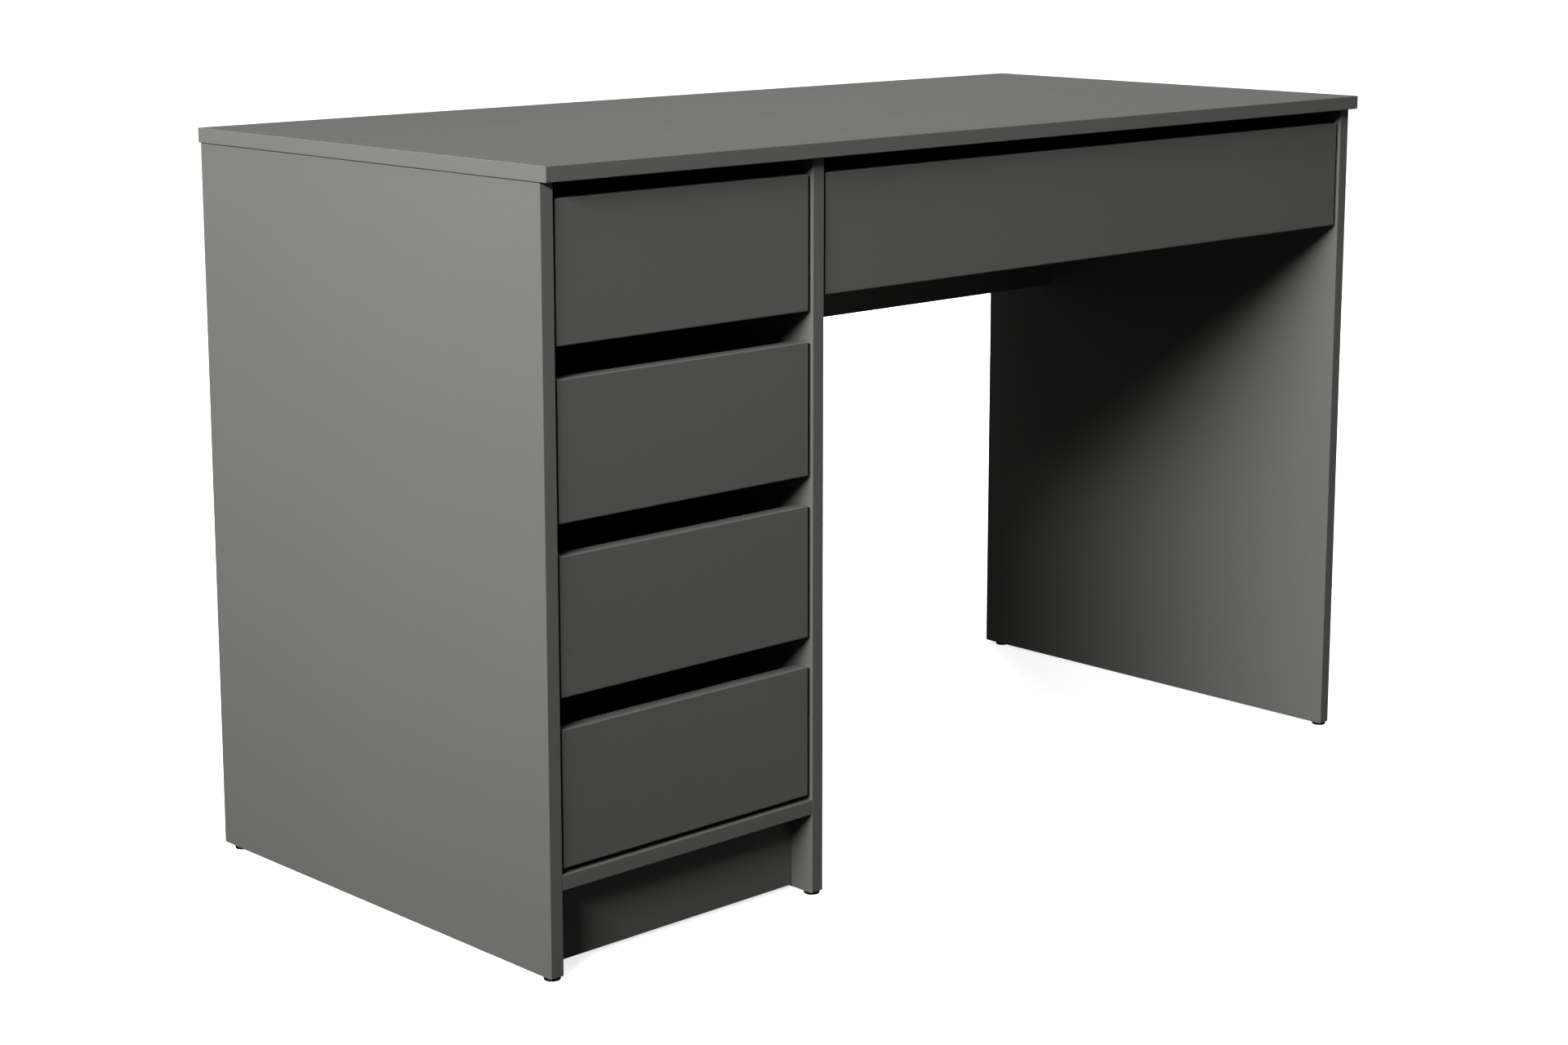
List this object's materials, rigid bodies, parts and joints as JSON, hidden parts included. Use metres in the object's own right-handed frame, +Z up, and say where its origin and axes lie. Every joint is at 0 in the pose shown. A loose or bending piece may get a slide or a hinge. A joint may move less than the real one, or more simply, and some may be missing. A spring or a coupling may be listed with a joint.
{
  "type": "writing desk with drawers",
  "caption": "Writing desk in dark board: a drawer pedestal on the left with finger-gap fronts, and a wide drawer over the kneehole.",
  "frame": {"origin": "on the floor under the middle of the worktop", "axes": "+X to the right along the worktop, +Y to the back, +Z up; the drawer fronts face -Y"},
  "size_m": [1.2, 0.55, 0.75],
  "materials": {
    "graphite_board": "matte graphite melamine on particle board, with matching edge banding",
    "dark_hardboard": "dark lacquered hardboard",
    "black_steel": "black powder coat",
    "zinc_steel": "zinc plated",
    "zinc_alloy": "die-cast, dull",
    "nylon": "moulded nylon",
    "black_plastic": "moulded",
    "beech": "fluted beech dowel"
  },
  "bodies": {
    "carcass": {"desk_top": "graphite_board", "left_side_panel": "graphite_board", "right_side_panel": "graphite_board", "divider_panel": "graphite_board", "pedestal_bottom": "graphite_board", "plinth_board": "graphite_board", "pedestal_back": "dark_hardboard", "rear_stretcher": "graphite_board", "glides": "black_plastic", "cam_locks": "zinc_alloy", "cam_bolts": "zinc_steel", "dowels": "beech", "rail_screws": "zinc_steel", "left_cabinet_rails": "black_steel", "right_cabinet_rails": "black_steel"},
    "drawer_1": {"drawer_1_front": "graphite_board", "drawer_1_left_side": "graphite_board", "drawer_1_right_side": "graphite_board", "drawer_1_back": "graphite_board", "drawer_1_bottom": "dark_hardboard", "drawer_1_rails": "black_steel", "drawer_1_screws": "zinc_steel"},
    "drawer_1_front_rollers": {"drawer_1_front_rollers": "nylon"},
    "drawer_1_rear_rollers": {"drawer_1_rear_rollers": "nylon"},
    "drawer_2": {"drawer_2_front": "graphite_board", "drawer_2_left_side": "graphite_board", "drawer_2_right_side": "graphite_board", "drawer_2_back": "graphite_board", "drawer_2_bottom": "dark_hardboard", "drawer_2_rails": "black_steel", "drawer_2_screws": "zinc_steel"},
    "drawer_2_front_rollers": {"drawer_2_front_rollers": "nylon"},
    "drawer_2_rear_rollers": {"drawer_2_rear_rollers": "nylon"},
    "drawer_3": {"drawer_3_front": "graphite_board", "drawer_3_left_side": "graphite_board", "drawer_3_right_side": "graphite_board", "drawer_3_back": "graphite_board", "drawer_3_bottom": "dark_hardboard", "drawer_3_rails": "black_steel", "drawer_3_screws": "zinc_steel"},
    "drawer_3_front_rollers": {"drawer_3_front_rollers": "nylon"},
    "drawer_3_rear_rollers": {"drawer_3_rear_rollers": "nylon"},
    "drawer_4": {"drawer_4_front": "graphite_board", "drawer_4_left_side": "graphite_board", "drawer_4_right_side": "graphite_board", "drawer_4_back": "graphite_board", "drawer_4_bottom": "dark_hardboard", "drawer_4_rails": "black_steel", "drawer_4_screws": "zinc_steel"},
    "drawer_4_front_rollers": {"drawer_4_front_rollers": "nylon"},
    "drawer_4_rear_rollers": {"drawer_4_rear_rollers": "nylon"},
    "wide_drawer": {"wide_drawer_front": "graphite_board", "wide_drawer_left_side": "graphite_board", "wide_drawer_right_side": "graphite_board", "wide_drawer_back": "graphite_board", "wide_drawer_bottom": "dark_hardboard", "wide_drawer_rails": "black_steel", "wide_drawer_screws": "zinc_steel"},
    "wide_drawer_front_rollers": {"wide_drawer_front_rollers": "nylon"},
    "wide_drawer_rear_rollers": {"wide_drawer_rear_rollers": "nylon"}
  },
  "joints": [
    {"name": "drawer_1_slide", "type": "slide", "parent": "carcass", "child": "drawer_1", "axis": [0, -1, 0], "range_m": [0, 0.3]},
    {"name": "drawer_1_front_rollers_spin", "type": "hinge", "parent": "carcass", "child": "drawer_1_front_rollers", "pos_m": [-0.424, -0.2327, 0.6157], "axis": [1, 0, 0], "continuous": true},
    {"name": "drawer_1_rear_rollers_spin", "type": "hinge", "parent": "drawer_1", "child": "drawer_1_rear_rollers", "pos_m": [-0.424, 0.139, 0.6133], "axis": [1, 0, 0], "continuous": true},
    {"name": "drawer_2_slide", "type": "slide", "parent": "carcass", "child": "drawer_2", "axis": [0, -1, 0], "range_m": [0, 0.3]},
    {"name": "drawer_2_front_rollers_spin", "type": "hinge", "parent": "carcass", "child": "drawer_2_front_rollers", "pos_m": [-0.424, -0.2327, 0.4547], "axis": [1, 0, 0], "continuous": true},
    {"name": "drawer_2_rear_rollers_spin", "type": "hinge", "parent": "drawer_2", "child": "drawer_2_rear_rollers", "pos_m": [-0.424, 0.139, 0.4523], "axis": [1, 0, 0], "continuous": true},
    {"name": "drawer_3_slide", "type": "slide", "parent": "carcass", "child": "drawer_3", "axis": [0, -1, 0], "range_m": [0, 0.3]},
    {"name": "drawer_3_front_rollers_spin", "type": "hinge", "parent": "carcass", "child": "drawer_3_front_rollers", "pos_m": [-0.424, -0.2327, 0.2937], "axis": [1, 0, 0], "continuous": true},
    {"name": "drawer_3_rear_rollers_spin", "type": "hinge", "parent": "drawer_3", "child": "drawer_3_rear_rollers", "pos_m": [-0.424, 0.139, 0.2913], "axis": [1, 0, 0], "continuous": true},
    {"name": "drawer_4_slide", "type": "slide", "parent": "carcass", "child": "drawer_4", "axis": [0, -1, 0], "range_m": [0, 0.3]},
    {"name": "drawer_4_front_rollers_spin", "type": "hinge", "parent": "carcass", "child": "drawer_4_front_rollers", "pos_m": [-0.424, -0.2327, 0.1327], "axis": [1, 0, 0], "continuous": true},
    {"name": "drawer_4_rear_rollers_spin", "type": "hinge", "parent": "drawer_4", "child": "drawer_4_rear_rollers", "pos_m": [-0.424, 0.139, 0.1303], "axis": [1, 0, 0], "continuous": true},
    {"name": "wide_drawer_slide", "type": "slide", "parent": "carcass", "child": "wide_drawer", "axis": [0, -1, 0], "range_m": [0, 0.3]},
    {"name": "wide_drawer_front_rollers_spin", "type": "hinge", "parent": "carcass", "child": "wide_drawer_front_rollers", "pos_m": [0.1665, -0.2327, 0.6292], "axis": [1, 0, 0], "continuous": true},
    {"name": "wide_drawer_rear_rollers_spin", "type": "hinge", "parent": "wide_drawer", "child": "wide_drawer_rear_rollers", "pos_m": [0.1665, 0.139, 0.6268], "axis": [1, 0, 0], "continuous": true}
  ],
  "couplings": [
    {"joint": "drawer_1_front_rollers_spin", "follows": "drawer_1_slide", "rad_per_m": 95.238},
    {"joint": "drawer_1_rear_rollers_spin", "follows": "drawer_1_slide", "rad_per_m": 95.238},
    {"joint": "drawer_2_front_rollers_spin", "follows": "drawer_2_slide", "rad_per_m": 95.238},
    {"joint": "drawer_2_rear_rollers_spin", "follows": "drawer_2_slide", "rad_per_m": 95.238},
    {"joint": "drawer_3_front_rollers_spin", "follows": "drawer_3_slide", "rad_per_m": 95.238},
    {"joint": "drawer_3_rear_rollers_spin", "follows": "drawer_3_slide", "rad_per_m": 95.238},
    {"joint": "drawer_4_front_rollers_spin", "follows": "drawer_4_slide", "rad_per_m": 95.238},
    {"joint": "drawer_4_rear_rollers_spin", "follows": "drawer_4_slide", "rad_per_m": 95.238},
    {"joint": "wide_drawer_front_rollers_spin", "follows": "wide_drawer_slide", "rad_per_m": 95.238},
    {"joint": "wide_drawer_rear_rollers_spin", "follows": "wide_drawer_slide", "rad_per_m": 95.238}
  ]
}
